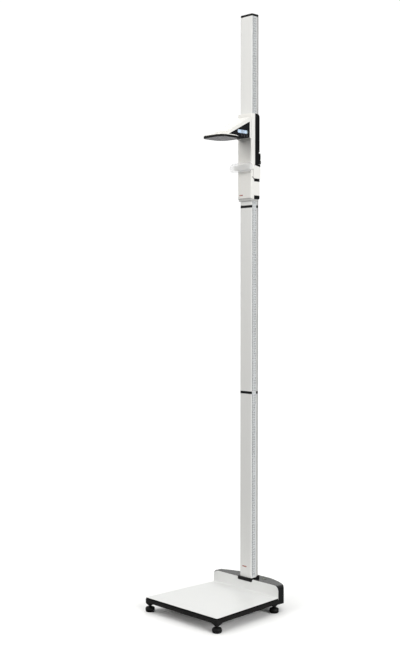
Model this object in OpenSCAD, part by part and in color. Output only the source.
// Free-standing stadiometer: a three-section measuring column on a levelled platform,
// with a braked digital head slider. Millimetres, +Z up, origin on the floor under the
// middle of the footprint, the user facing -Y with the column behind.

/* [Overall] */
// Height from the floor to the top of the column cap
total_h = 2394; // [2300:1:2450]
// Height shown by the slider at rest, from platform top to head plate
reading = 1825; // [700:1:2150]

/* [Platform] */
// Width of the standing surface at its front edge
front_w = 399; // [380:1:420]
// Width of the standing surface at the heel wall
rear_w = 360; // [345:1:380]
// Height of the standing surface above the floor
platform_h = 57; // [54:0.5:60]
// Height of the heel wall above the standing surface
heel_h = 48; // [40:1:55]

/* [Column] */
// Width of the column profile
col_w = 65; // [62:0.5:70]
// Depth of the column profile
col_d = 39; // [38:0.5:42]

/* [Slider] */
// Height of the slider shell
slider_h = 344; // [330:1:360]
// Width of the slider shell
slider_w = 77; // [77:0.5:80]
// Width of the head plate
plate_w = 120; // [100:1:130]
// Reach of the head plate in front of the column
plate_reach = 198; // [180:1:205]

/* [Feet] */
// Radius of a foot pad
pad_r = 19; // [15:0.5:20]
// Diameter of the threaded foot studs
stud_d = 8; // [8:1:8]

/* [Hidden] */
$fn = 48;

// Footprint: pads reach the front of the 466 mm deep footprint, the housing its rear
depth = 466;
foot_inset = 11.5;
front_foot_y = -depth / 2 + pad_r;
tray_y0 = front_foot_y - foot_inset;
col_y = 140.5;
wall_t = 3;
tray_y1 = col_y - 0.5 - wall_t;
front_foot_x = front_w / 2 - foot_inset;
rear_foot = [rear_w / 2 - foot_inset, 128];
FEET = [
    [front_foot_x, front_foot_y], [-front_foot_x, front_foot_y],
    rear_foot, [-rear_foot[0], rear_foot[1]]
];

// Levels of the base, from the floor up
pad_h = 20;
neck_z = 23;
neck_r = 6;
leg_z = 25.5;
apron_z = 37;
deck_z = 46;
deck_t = 3;
skirt_z = 52;
rim_z = 51;
seal_z = platform_h - 0.6;
tray_t = 3;
heel_z = platform_h + heel_h;
tongue_z = 40;
flange_t = 10;

// Column sections and the joints between them
col_x = col_w / 2;
col_z0 = deck_z + flange_t;
joint_z = [866, 1621];
trim_t = 10.5;
cap_t = 9;
col_top = total_h - cap_t;
cavity = [27.4, 2.6, 36.4];
strip_y = [3.5, 27];
strip_depth = 0.6;
groove_y = [29.5, 33.5];
groove_depth = 3.6;
plug_l = 120;

// Slider, measured from a datum just above the underside of the head plate
plate_bottom = -2;
datum_z = platform_h + reading - plate_bottom;
shell_z0 = -234;
shell_z1 = shell_z0 + slider_h;
shell_x = slider_w / 2;
shell_t = 2.5;
shell_y = -9;
shell_in = shell_x - shell_t;
side_y_high = 13;
side_y_low = 7;
rear_y = 39.5;
clip_z = [-151, -98];
band_z = [-219, -163];
glide_gap = 0.4;

// Head plate
rim_top = 6;
plate_top = 11.5;

// Display block under the head arm, as points of (y, z)
block_z0 = plate_top + 0.4;
block_back = [-16.3, 74.4];
block_slope = 0.504;
function block(front) = [
    [block_back[0], 10.5], block_back, [front, block_back[1] - block_slope * (block_back[0] - front)],
    [front, block_z0], [-80, block_z0], [-77, 5], [-68, 2]
];
BLOCK_FRONT = -136;
CAVITY_FRONT = -112;
block_r = [2, 1, 0.8, 0.8, 3, 3, 8];
block_x = 33;
panel_t = 2;
lens_c = [-56, 31];
lens_size = [64, 13];
KEY_Y = [-62, -47, -32];
key_z = 14.6;
key_r = 3.9;
CELLS = [[-28, 21], [-43, 21], [-28, 36], [-43, 36]];
cell_r = 7.25;
door_yz = [[-54, 11], [-20, 46]];

// Brake lever pivot, (y, z) from the slider's datum
pivot = [43, -84];

// ---------- outlines ----------
function unit(v) = v / norm(v);

// n-segment arc of radius r that replaces corner b between a and c
function fillet(a, b, c, r, n = 6) =
    r <= 0 ? [b] :
    let (
        u = unit(a - b), v = unit(c - b), half = acos(u * v) / 2,
        m = b + unit(u + v) * r / sin(half),
        p = b + u * r / tan(half) - m, q = b + v * r / tan(half) - m,
        a0 = atan2(p[1], p[0]), da = (atan2(q[1], q[0]) - a0 + 540) % 360 - 180
    )
    [for (i = [0:n]) m + r * [cos(a0 + da * i / n), sin(a0 + da * i / n)]];

function rounded(pts, radii, n = 6) =
    let (k = len(pts))
    [for (i = [0:k - 1]) each fillet(pts[(i + k - 1) % k], pts[i], pts[(i + 1) % k], radii[i], n)];

function box_pts(x0, y0, x1, y1) = [[x0, y0], [x1, y0], [x1, y1], [x0, y1]];
function round_box(x0, y0, x1, y1, r) = rounded(box_pts(x0, y0, x1, y1), [r, r, r, r]);

// Corner b moved t to the left of the path a-b-c, which is inward on an anticlockwise outline
function inset_corner(a, b, c, t) =
    let (u = unit(b - a), v = unit(c - b), n1 = [-u[1], u[0]], n2 = [-v[1], v[0]])
    b + (n1 + n2) * t / (1 + n1 * n2);
function inset(pts, t) =
    let (k = len(pts))
    [for (i = [0:k - 1]) inset_corner(pts[(i + k - 1) % k], pts[i], pts[(i + 1) % k], t)];

// Platform outline, tapering from front_w to rear_w
tray_pts = [
    [-front_w / 2, tray_y0], [front_w / 2, tray_y0], [rear_w / 2, col_y - 0.5],
    [-rear_w / 2, col_y - 0.5]
];
apron_out = 3.2;
tray_gap = 0.4;
pocket_pts = [
    [-front_w / 2 - tray_gap, tray_y0 - tray_gap], [front_w / 2 + tray_gap, tray_y0 - tray_gap],
    [rear_w / 2 + tray_gap, col_y + 5], [-rear_w / 2 - tray_gap, col_y + 5]
];
frame_pts = [
    [-front_w / 2 - apron_out, tray_y0 - apron_out], [front_w / 2 + apron_out, tray_y0 - apron_out],
    [rear_w / 2 + apron_out, col_y - 0.5], [-rear_w / 2 - apron_out, col_y - 0.5]
];

module prism_z(pts, z0, z1) translate([0, 0, z0]) linear_extrude(z1 - z0) polygon(pts);
// Outline of (y, z) points extruded along X
module prism_x(pts, x0, x1)
    translate([x0, 0, 0]) rotate([90, 0, 90]) linear_extrude(x1 - x0) polygon(pts);
// Outline of (x, z) points extruded along Y
module prism_y(pts, y0, y1)
    translate([0, y1, 0]) rotate([90, 0, 0]) linear_extrude(y1 - y0) polygon(pts);
module box3(lo, hi) translate(lo) cube(hi - lo);
module rod_x(c, r, x0, x1) translate([x0, c[0], c[1]]) rotate([0, 90, 0]) cylinder(h = x1 - x0, r = r);
module rod_y(x, z, r, y0, y1) translate([x, y1, z]) rotate([90, 0, 0]) cylinder(h = y1 - y0, r = r);
module both_sides() {
    children();
    mirror([1, 0, 0]) children();
}
// Places the column's local frame, y = 0 on its front face
module on_column() translate([0, col_y, 0]) children();
// Places the slider's local frame, z = 0 at its datum
module on_slider() translate([0, col_y, datum_z]) children();

// ---------- base ----------
leg_span = 34;
leg_r = 8;
stud_bore_r = stud_d / 2 + 0.05;
insert_r = 5.9;
insert_top = 44;

module leg(foot, corner) {
    sx = sign(foot[0]);
    sy = sign(corner[1] - foot[1]);
    inner = [corner[0] - sx * leg_span, corner[1] - sy * leg_span];
    hull() {
        translate([foot[0], foot[1], leg_z]) cylinder(h = 1, r = leg_r, $fn = 32);
        box3([min(corner[0], inner[0]), min(corner[1], inner[1]), apron_z + 1],
             [max(corner[0], inner[0]), max(corner[1], inner[1]), apron_z + 2]);
    }
}

rib_x = 148;
tongue_x = 95;
tongue_y1 = col_y + 66;
BOLTS = [for (x = [-42, 42], y = [10, 54]) [x, col_y + y]];
bolt_r = 3.9;

module base_frame() {
    corner_x = front_w / 2 + apron_out;
    color([0.16, 0.16, 0.17]) difference() {
        union() {
            difference() {
                prism_z(rounded(frame_pts, [7, 7, 3, 3]), apron_z, rim_z);
                prism_z(rounded(inset(frame_pts, 3), [4, 4, 1, 1]), apron_z - 1, deck_z);
                prism_z(rounded(pocket_pts, [6, 6, 0, 0]), deck_z + deck_t, rim_z + 1);
            }
            intersection() {
                prism_z(rounded(frame_pts, [7, 7, 3, 3]), leg_z - 1, deck_z);
                union() {
                    leg(FEET[0], [corner_x + 1, tray_y0 - apron_out - 1]);
                    leg(FEET[1], [-corner_x - 1, tray_y0 - apron_out - 1]);
                    leg(FEET[2], [rear_w / 2 + apron_out + 2, col_y + 1]);
                    leg(FEET[3], [-rear_w / 2 - apron_out - 2, col_y + 1]);
                }
            }
            for (f = FEET)
                translate([f[0], f[1], apron_z]) cylinder(h = deck_z - apron_z + 1, r = leg_r + 1.6);
            for (x = [-rib_x, rib_x])
                box3([x - 2, tray_y0 + 4, apron_z + 1], [x + 2, col_y - 2, deck_z + 1]);
            box3([-tongue_x, col_y - 30, tongue_z], [tongue_x, tongue_y1, deck_z]);
        }
        for (f = FEET)
            translate([f[0], f[1], leg_z - 2]) cylinder(h = insert_top + 2 - leg_z, r = insert_r + 0.05);
        for (b = BOLTS) translate([b[0], b[1], tongue_z - 5]) cylinder(h = 20, r = bolt_r + 0.1);
    }
}

module ballast_plate() {
    color([0.45, 0.45, 0.47])
        prism_z(round_box(-135, tray_y0 + 40, 135, 85, 10), deck_z - 8.5, deck_z - 0.2);
}

notch_x = 39.5;
notch_z = 95;
module platform_tray() {
    fillet_r = 6;
    color([0.93, 0.93, 0.91]) {
        difference() {
            prism_z(rounded(tray_pts, [6, 6, 0, 0]), skirt_z, platform_h);
            prism_z(rounded(inset(tray_pts, 2.5), [4, 4, 0, 0]), skirt_z - 1, platform_h - tray_t);
        }
        // Heel wall: a notched plate that joins the floor in a fillet
        difference() {
            prism_y(rounded([
                [-rear_w / 2, skirt_z], [rear_w / 2, skirt_z], [rear_w / 2, heel_z],
                [notch_x, heel_z], [notch_x, notch_z], [-notch_x, notch_z],
                [-notch_x, heel_z], [-rear_w / 2, heel_z]
            ], [0, 0, 22, 5, 5, 5, 5, 22]), tray_y1, col_y - 0.5);
        }
        prism_x(concat([[tray_y1 + 0.5, platform_h - 0.5]], [
            for (i = [0:6]) let (a = 90 * i / 6)
            [tray_y1 - fillet_r + fillet_r * sin(a), platform_h + fillet_r - fillet_r * cos(a)]
        ], [[tray_y1 + 0.5, platform_h + fillet_r]]), -rear_w / 2, rear_w / 2);
    }
}

module tray_seal() {
    color([0.03, 0.03, 0.03]) difference() {
        prism_z(rounded(inset(frame_pts, 1.8), [6.5, 6.5, 1, 1]), rim_z + 0.1, seal_z);
        prism_z(rounded(tray_pts, [6, 6, 0, 0]), skirt_z - 3, platform_h + 1);
        box3([-300, col_y - 4, rim_z - 1], [300, col_y + 1, platform_h]);
    }
}

module tray_pads() {
    color([0.08, 0.08, 0.08])
        for (x = [-150, 0, 150], y = [-190, 100])
            translate([x, y, deck_z + deck_t]) cylinder(h = platform_h - tray_t - deck_z - deck_t, r = 11);
}

// ---------- rear housing ----------
house_x = 182;
house_z0 = 32;
house_y0 = col_y - 0.2;
house_y1 = depth / 2;
end_y = col_y + 30;
house_sag = house_y1 - end_y;
house_arc_r = (house_x * house_x + house_sag * house_sag) / (2 * house_sag);
house_drop = 8;

// Closed solid of the housing, drawn t inside its outer surface
module house_solid(t) {
    r = house_arc_r - t;
    c = house_y1 - house_arc_r;
    a = acos((house_x - t) / r);
    top = heel_z + 1.5 - t;
    intersection() {
        prism_z(concat([[-house_x + t, house_y0 - t], [house_x - t, house_y0 - t]], [
            for (i = [0:24]) let (b = a + (180 - 2 * a) * i / 24)
            [r * cos(b), c + r * sin(b)]
        ]), house_z0 - t, heel_z + 3);
        prism_y(rounded([
            [-house_x + t, house_z0 - t], [house_x - t, house_z0 - t],
            [house_x - t, top], [-house_x + t, top]
        ], [0, 0, 18 - t, 18 - t]), house_y0 - 5, house_y1 + 5);
        prism_x(rounded([
            [house_y0 - 5, house_z0 - t], [house_y1 - t, house_z0 - t],
            [house_y1 - t, top - house_drop], [house_y0 - 5, top]
        ], [0, 0, 7 - t, 0]), -house_x, house_x);
    }
}

socket_x = 36.5;
socket_y = [-8, 45];
vial_c = [56, col_y + 50];
vial_top = 103;
bezel_r = 11;
module rear_housing() {
    color([0.2, 0.2, 0.21]) difference() {
        house_solid(0);
        house_solid(3);
        box3([-socket_x - 0.3, house_y0 - 1, 80], [socket_x + 0.3, col_y + socket_y[1] + 0.3, heel_z + 5]);
        translate([vial_c[0], vial_c[1], 80]) cylinder(h = 30, r = bezel_r + 0.2);
    }
}

module level_vial() {
    color([0.75, 0.85, 0.4, 0.8])
        translate([vial_c[0], vial_c[1], vial_top - 9]) cylinder(h = 8.6, r = 8);
}

module vial_bezel() {
    color([0.1, 0.1, 0.1]) translate([vial_c[0], vial_c[1], 0]) difference() {
        translate([0, 0, vial_top - 11]) cylinder(h = 11, r = bezel_r);
        translate([0, 0, vial_top - 9.2]) cylinder(h = 12, r = 8.1);
    }
}

plug_fit = 0.2;
plug_outline = round_box(-cavity[0] + plug_fit, cavity[1] + plug_fit,
                         cavity[0] - plug_fit, cavity[2] - plug_fit, 2.2);
module column_spigot() {
    color([0.6, 0.6, 0.62]) difference() {
        union() {
            box3([-54, col_y + 0.2, deck_z], [54, col_y + 64, col_z0]);
            on_column() prism_z(plug_outline, col_z0 - 1, col_z0 + 170);
        }
        on_column() box3([-cavity[0] + 4.2, cavity[1] + 4.2, col_z0 + 4],
                         [cavity[0] - 4.2, cavity[2] - 4.2, col_z0 + 171]);
        for (b = BOLTS) translate([b[0], b[1], deck_z - 1]) cylinder(h = 9.5, r = bolt_r + 0.1);
    }
}

module base_bolts() {
    color([0.7, 0.7, 0.72]) for (b = BOLTS) translate([b[0], b[1], 0]) {
        translate([0, 0, tongue_z - 5.3]) cylinder(h = 5.3, r = 7.5, $fn = 6);
        translate([0, 0, tongue_z - 1]) cylinder(h = deck_z - tongue_z + 8.5, r = bolt_r);
    }
}

socket_z = [95.5, 109, 114];
module column_socket() {
    color([0.06, 0.06, 0.06]) on_column() difference() {
        prism_x([
            [socket_y[0], socket_z[0]], [socket_y[1], socket_z[0]], [socket_y[1], socket_z[2]],
            [34, socket_z[2]], [28, socket_z[1]], [socket_y[0], socket_z[1]]
        ], -socket_x, socket_x);
        prism_z(round_box(-col_x - 0.2, -0.2, col_x + 0.2, col_d + 0.2, 2), 80, 130);
    }
}

module foot_inserts() {
    color([0.75, 0.62, 0.35]) for (f = FEET) translate([f[0], f[1], leg_z + 0.5]) difference() {
        cylinder(h = insert_top - leg_z - 0.6, r = insert_r);
        translate([0, 0, -1]) cylinder(h = 30, r = stud_bore_r);
    }
}

module foot_pad(f) {
    color([0.05, 0.05, 0.05]) translate([f[0], f[1], 0]) difference() {
        rotate_extrude() polygon(concat(
            [[0, 0], [pad_r - 4, 0]],
            [for (i = [0:8]) let (a = -60 + 150 * i / 8) [pad_r - 9 + 9 * cos(a), pad_h - 9 + 9 * sin(a)]],
            [[neck_r, pad_h], [neck_r, neck_z], [0, neck_z]]
        ));
        translate([0, 0, 5]) cylinder(h = 25, r = stud_bore_r);
    }
}

module foot_stud(f) {
    color([0.08, 0.08, 0.09]) translate([f[0], f[1], 5.2]) cylinder(h = 36, r = stud_d / 2);
}

// ---------- column ----------
module column_outline(strip) {
    difference() {
        polygon(rounded(box_pts(-col_x, 0, col_x, col_d), [5, 5, 2, 2]));
        polygon(round_box(-cavity[0], cavity[1], cavity[0], cavity[2], 2));
        both_sides() {
            polygon(box_pts(col_x - strip, strip_y[0], col_x + 1, strip_y[1]));
            polygon(box_pts(col_x - groove_depth, groove_y[0], col_x + 1, groove_y[1]));
        }
    }
}

plug_screw_r = 1.95;
screw_gap = 30;
module column_section(z0, z1, screws) {
    color([0.83, 0.83, 0.83]) on_column() difference() {
        translate([0, 0, z0]) linear_extrude(z1 - z0) column_outline(strip_depth);
        for (z = screws) rod_y(0, z, plug_screw_r + 0.1, cavity[2] - 1, col_d + 1);
    }
}
module column_lower() column_section(col_z0, joint_z[0] - trim_t / 2, [joint_z[0] - screw_gap]);
module column_middle()
    column_section(joint_z[0] + trim_t / 2, joint_z[1] - trim_t / 2,
                   [joint_z[0] + screw_gap, joint_z[1] - screw_gap]);
module column_upper() column_section(joint_z[1] + trim_t / 2, col_top, [joint_z[1] + screw_gap]);

module joint_trim(z) {
    color([0.06, 0.06, 0.06]) on_column() translate([0, 0, z - trim_t / 2])
        linear_extrude(trim_t) column_outline(strip_depth + 0.4);
}

module joint_plug(z) {
    color([0.6, 0.6, 0.62]) on_column() difference() {
        prism_z(plug_outline, z - plug_l / 2, z + plug_l / 2);
        box3([-cavity[0] + 5, cavity[1] + 5, z - plug_l], [cavity[0] - 5, cavity[2] - 5, z + plug_l]);
        for (s = [-1, 1]) rod_y(0, z + s * screw_gap, plug_screw_r + 0.1, cavity[2] - 7, cavity[2] + 1);
    }
}

module plug_screws() {
    color([0.7, 0.7, 0.72]) on_column() for (z = joint_z, s = [-1, 1]) {
        rod_y(0, z + s * screw_gap, plug_screw_r, cavity[2] - 5, col_d + 0.5);
        rod_y(0, z + s * screw_gap, 3.7, col_d, col_d + 2.2);
    }
}

module side_strips(x0, y0, y1) {
    ends = [socket_z[2], joint_z[0], joint_z[1], col_top];
    on_column() for (i = [0:2])
        box3([x0, y0, ends[i] + 0.2], [x0 + 0.5, y1, ends[i + 1] - 0.2]);
}
module scale_strips() color([0.85, 0.87, 0.86])
    side_strips(col_x - strip_depth, strip_y[0] + 0.2, strip_y[1] - 0.2);
module encoder_strips() color([0.12, 0.12, 0.12]) side_strips(-col_x + strip_depth - 0.5, 10, 20);

module top_cap() {
    color([0.06, 0.06, 0.06]) on_column() {
        prism_z(rounded(box_pts(-col_x, 0, col_x, col_d), [5, 5, 2, 2]), col_top, total_h);
        prism_z(plug_outline, col_top - 12, col_top + 1);
    }
}

// ---------- slider body ----------
// U-shaped outline that reaches back to y = rear
function u_outline(x, front, rear, r) =
    rounded([[-x, rear], [-x, front], [x, front], [x, rear]], [0, r, r, 0]);

module slider_shell() {
    color([0.9, 0.9, 0.87]) on_slider() {
        difference() {
            union() {
                prism_z(u_outline(shell_x, shell_y, side_y_low, 6), shell_z0, clip_z[1] + 1);
                prism_z(u_outline(shell_x, shell_y, side_y_high, 6), clip_z[1] + 1, shell_z1);
                prism_z(u_outline(shell_x, shell_y, rear_y, 6), band_z[0], band_z[1]);
            }
            prism_z(u_outline(shell_in, shell_y + shell_t, rear_y + 5, 3.5),
                    shell_z0 - 1, shell_z1 - shell_t);
            prism_z(box_pts(-col_x - 0.6, -0.6, col_x + 0.6, rear_y + 5), shell_z1 - 5, shell_z1 + 1);
            prism_x([[shell_y - 1, shell_z0 - 1], [-0.5, shell_z0 - 1], [shell_y - 1, shell_z0 + 5]],
                    -50, 50);
        }
        both_sides()
            box3([shell_in - 2.8, rear_y - shell_t, band_z[0]], [shell_in + 0.1, rear_y, band_z[1]]);
    }
}

GRIP_SCREW_Z = [78, -226];
grip_screw_r = 1.3;
grip_screw_x = col_x + 2;
brake_cut = [[35.8, -108], [50, -43]];
module grip_plates() {
    prism_x(rounded([
        [side_y_low + 0.3, band_z[1] + 0.3], [rear_y, band_z[1] + 0.3], [rear_y, shell_z1],
        [side_y_high + 0.3, shell_z1], [side_y_high + 0.3, clip_z[1] + 1.3],
        [side_y_low + 0.3, clip_z[1] + 1.3]
    ], [1, 1, 14, 1, 1, 1]), shell_in, shell_x);
    prism_x(rounded([
        [side_y_low + 0.3, shell_z0], [rear_y, shell_z0], [rear_y, band_z[0] - 0.3],
        [side_y_low + 0.3, band_z[0] - 0.3]
    ], [1, 6, 1, 1]), shell_in, shell_x);
    box3([shell_in - 2.8, rear_y - shell_t, band_z[1] + 0.3], [shell_in + 0.1, rear_y, shell_z1 - 15]);
    box3([shell_in - 2.8, rear_y - shell_t, shell_z0 + 4], [shell_in + 0.1, rear_y, band_z[0] - 0.3]);
}
module grip_screw_holes()
    for (z = GRIP_SCREW_Z) rod_y(grip_screw_x, z, grip_screw_r + 0.1, 29, rear_y + 1);

ear_in = [33.2, 34.4];
ear_out = [38.1, 39.3];
module side_grip_right() {
    color([0.05, 0.05, 0.05]) on_slider() {
        difference() {
            grip_plates();
            grip_screw_holes();
            box3([30, brake_cut[0][0], brake_cut[0][1]], [45, brake_cut[1][0], brake_cut[1][1]]);
        }
        difference() {
            for (x = [ear_in, ear_out])
                prism_x(rounded([[35.5, -91], [47, -91], [47, -77], [35.5, -77]], [0, 4, 4, 0]), x[0], x[1]);
            rod_x(pivot, 1.52, 30, 42);
        }
        box3([ear_in[0], 33, -91], [ear_out[1], 35.8, -77]);
    }
}
module side_grip_left() {
    color([0.05, 0.05, 0.05]) on_slider() mirror([1, 0, 0]) difference() {
        grip_plates();
        grip_screw_holes();
    }
}

// C-shaped guide with noses that run in the column's side grooves
module glide(z0, z1) {
    nose_x = col_x - groove_depth + glide_gap;
    difference() {
        prism_z(u_outline(shell_in - 0.2, shell_y + shell_t + 0.2, rear_y - shell_t - 0.5, 3), z0, z1);
        prism_z(rounded(box_pts(-col_x - glide_gap, -glide_gap, col_x + glide_gap, 60), [5, 5, 0, 0]),
                z0 - 1, z1 + 1);
        both_sides() grip_screw_holes();
    }
    both_sides()
        box3([nose_x, groove_y[0] + glide_gap, z0], [col_x + glide_gap + 0.1, groove_y[1] - glide_gap, z1]);
}
module glide_upper() color([0.55, 0.55, 0.55]) on_slider() glide(60, 95);
module glide_lower() color([0.55, 0.55, 0.55]) on_slider() glide(shell_z0 - 7, -200);

module grip_screws() {
    color([0.7, 0.7, 0.72]) on_slider() both_sides() for (z = GRIP_SCREW_Z) {
        rod_y(grip_screw_x, z, grip_screw_r, 30, rear_y + 0.5);
        rod_y(grip_screw_x, z, 2.3, rear_y, rear_y + 1.4);
    }
}

module sensor_head() {
    color([0.1, 0.35, 0.2]) on_slider() box3([-shell_in + 0.2, 8.5, -42], [-col_x - 0.4, 21.5, -8]);
}

// ---------- Frankfurt line ----------
clip_x = [38.7, 41];
clip_bar_y = [-26.8, -21.2];
line_zc = -107.5;
line_size = [63, 18.5];
module frankfurt_clip() {
    color([0.92, 0.92, 0.9]) on_slider() {
        both_sides() {
            prism_x(rounded([
                [2, clip_z[0]], [rear_y + 2, clip_z[0]], [rear_y + 2, -104], [10, clip_z[1]], [2, clip_z[1]]
            ], [3, 3, 3, 3, 6]), clip_x[0], clip_x[1]);
            box3([clip_x[0], clip_bar_y[0], line_zc - 8], [clip_x[1], 3, line_zc + 8]);
            box3([34, rear_y + 0.2, clip_z[0] + 3], [clip_x[0] + 1, rear_y + 2, -108]);
        }
        box3([-clip_x[1], clip_bar_y[0], line_zc - 8], [clip_x[1], clip_bar_y[1], line_zc + 8]);
    }
}
module frankfurt_plate() {
    color([0.9, 0.92, 0.93, 0.5]) on_slider()
        prism_y(rounded(box_pts(-line_size[0], line_zc - line_size[1], line_size[0], line_zc + line_size[1]),
                        [for (i = [0:3]) line_size[1] - 0.1], 10),
                clip_bar_y[0] - 3.1, clip_bar_y[0] - 0.1);
}

// ---------- head piece ----------
function plate_outline(t) = rounded(
    inset(box_pts(-plate_w / 2, -plate_reach, plate_w / 2, -80), t), [30 - t, 30 - t, 46 - t, 46 - t], 10);
module head_plate_shell() color([0.92, 0.92, 0.89]) on_slider() {
    prism_z(plate_outline(0), rim_top, plate_top - 2);
    prism_z(plate_outline(2), plate_top - 2.5, plate_top);
}
module head_rim() color([0.06, 0.06, 0.06]) on_slider() difference() {
    prism_z(plate_outline(-0.6), plate_bottom, rim_top - 0.1);
    prism_z(plate_outline(6), plate_bottom - 1, rim_top + 1);
}
module head_pad() color([0.75, 0.75, 0.76]) on_slider()
    prism_z(plate_outline(6.1), plate_bottom + 0.6, rim_top - 0.1);

arm_x = 36;
module head_arm() color([0.93, 0.93, 0.9]) on_slider() prism_x(rounded([
    [shell_y - 0.2, 9], [shell_y - 0.2, 96.5], [-143, 25], [-143, plate_top + 0.2],
    [-136.4, plate_top + 0.2], [-136.4, 14.5], [-16.1, 75], [-16.1, 9]
], [2, 3, 3, 1, 1, 1, 1, 2]), -arm_x, arm_x);

module display_housing() {
    wall = 2;
    color([0.07, 0.07, 0.08]) on_slider() difference() {
        prism_x(rounded(block(BLOCK_FRONT), block_r), -block_x - 2, block_x);
        prism_x(rounded(inset(block(CAVITY_FRONT), wall), [0, 0, 0, 0, 1, 1, 5]),
                -block_x + 0.6, block_x + 1);
        box3([-block_x - 3, door_yz[0][0], door_yz[0][1]],
             [-block_x - 0.4, door_yz[1][0], door_yz[1][1]]);
        box3([-block_x - 1, door_yz[0][0] + 3, door_yz[0][1] + 3],
             [-block_x + 2, door_yz[1][0] - 3, door_yz[1][1] - 3]);
    }
}
function lens_outline(gap) = round_box(
    lens_c[0] - lens_size[0] / 2 - gap, lens_c[1] - lens_size[1] / 2 - gap,
    lens_c[0] + lens_size[0] / 2 + gap, lens_c[1] + lens_size[1] / 2 + gap, lens_size[1] / 2 - 0.2);
module display_panel() {
    color([0.04, 0.04, 0.05]) on_slider() difference() {
        prism_x(rounded(block(BLOCK_FRONT), block_r), block_x + 0.1, block_x + panel_t);
        prism_x(lens_outline(0.1), block_x - 1, block_x + 5);
        for (y = KEY_Y) rod_x([y, key_z], key_r + 0.15, block_x - 1, block_x + 5);
    }
}
module display_lens() color([0.75, 0.87, 0.95, 0.6]) on_slider()
    prism_x(lens_outline(-0.1), block_x + 0.2, block_x + panel_t - 0.2);
module lcd_module() color([0.7, 0.8, 0.85]) on_slider()
    box3([31.4, lens_c[0] - 24, lens_c[1] - 7], [block_x, lens_c[0] + 26, lens_c[1] + 7]);
module main_board() color([0.1, 0.35, 0.2]) on_slider()
    prism_x([[-20, 14], [-20, 66], [-78, 36.5], [-78, 20], [-66, 9], [-40, 10.5]], 29.6, 31.1);
module radio_module() color([0.75, 0.75, 0.76]) on_slider() box3([26, -76, 21], [29.5, -56, 33]);
module batteries() color([0.3, 0.45, 0.6]) on_slider() for (c = CELLS) {
    rod_x(c, cell_r, -27, 22.2);
    rod_x(c, 2.7, 22, 23.5);
}
module battery_contacts() color([0.8, 0.75, 0.6]) on_slider() for (c = CELLS) {
    rod_x(c, 5, 23.6, 24.4);
    rod_x(c, 3.2, -31.2, -27.1);
}
module battery_door() color([0.07, 0.07, 0.08]) on_slider()
    prism_x(round_box(door_yz[0][0] + 0.2, door_yz[0][1] + 0.2, door_yz[1][0] - 0.2, door_yz[1][1] - 0.2, 1),
            -block_x - 2, -block_x - 0.5);
module key(y) color([0.5, 0.52, 0.55]) on_slider() rod_x([y, key_z], key_r, 31.9, block_x + panel_t + 0.8);

// ---------- brake ----------
hub_x = [36.4, 37.9];
shoe_x = [19, 31];
module brake_lever() {
    color([0.05, 0.05, 0.05]) on_slider() difference() {
        union() {
            rod_x(pivot, 3.4, hub_x[0], hub_x[1]);
            box3([hub_x[0] + 0.2, 41.2, -103.5], [hub_x[1] - 0.2, 44.6, -60]);
            prism_x([[40.2, -76], [45, -76], [46.2, -66], [46, -56], [44.6, -48], [40.2, -48]], 33.6, 38.3);
            box3([shoe_x[0] - 1, 41.5, -103], [hub_x[1] - 0.4, 44.2, -92.5]);
        }
        rod_x(pivot, 1.56, 30, 42);
    }
}
module brake_shoe() color([0.25, 0.12, 0.1]) on_slider()
    box3([shoe_x[0], col_d + 0.15, -102.5], [shoe_x[1], 41.5, -93]);
module brake_pin() color([0.7, 0.7, 0.72]) on_slider() rod_x(pivot, 1.5, ear_in[0], ear_out[1]);
module brake_spring() color([0.7, 0.7, 0.72]) on_slider() translate([0, pivot[0], pivot[1]])
    for (x = [35, 35.75]) translate([x, 0, 0]) rotate([0, 90, 0])
        rotate_extrude() translate([2.6, 0]) circle(r = 0.35, $fn = 16);

base_frame();
ballast_plate();
platform_tray();
tray_pads();
rear_housing();
level_vial();
vial_bezel();
column_spigot();
base_bolts();
column_socket();
foot_inserts();
tray_seal();
column_lower();
column_middle();
column_upper();
scale_strips();
encoder_strips();
joint_trim(joint_z[0]);  // joint_trim_lower
joint_trim(joint_z[1]);  // joint_trim_upper
joint_plug(joint_z[0]);  // joint_plug_lower
joint_plug(joint_z[1]);  // joint_plug_upper
plug_screws();
top_cap();
foot_pad(FEET[0]);  // foot_pad_front_right
foot_pad(FEET[1]);  // foot_pad_front_left
foot_pad(FEET[2]);  // foot_pad_rear_right
foot_pad(FEET[3]);  // foot_pad_rear_left
foot_stud(FEET[0]);  // foot_stud_front_right
foot_stud(FEET[1]);  // foot_stud_front_left
foot_stud(FEET[2]);  // foot_stud_rear_right
foot_stud(FEET[3]);  // foot_stud_rear_left
slider_shell();
side_grip_right();
side_grip_left();
glide_upper();
glide_lower();
grip_screws();
frankfurt_clip();
frankfurt_plate();
head_arm();
head_plate_shell();
head_rim();
head_pad();
display_housing();
display_panel();
display_lens();
lcd_module();
main_board();
radio_module();
sensor_head();
batteries();
battery_contacts();
battery_door();
brake_lever();
brake_shoe();
brake_pin();
brake_spring();
key(KEY_Y[0]);  // key_start
key(KEY_Y[1]);  // key_hold
key(KEY_Y[2]);  // key_send
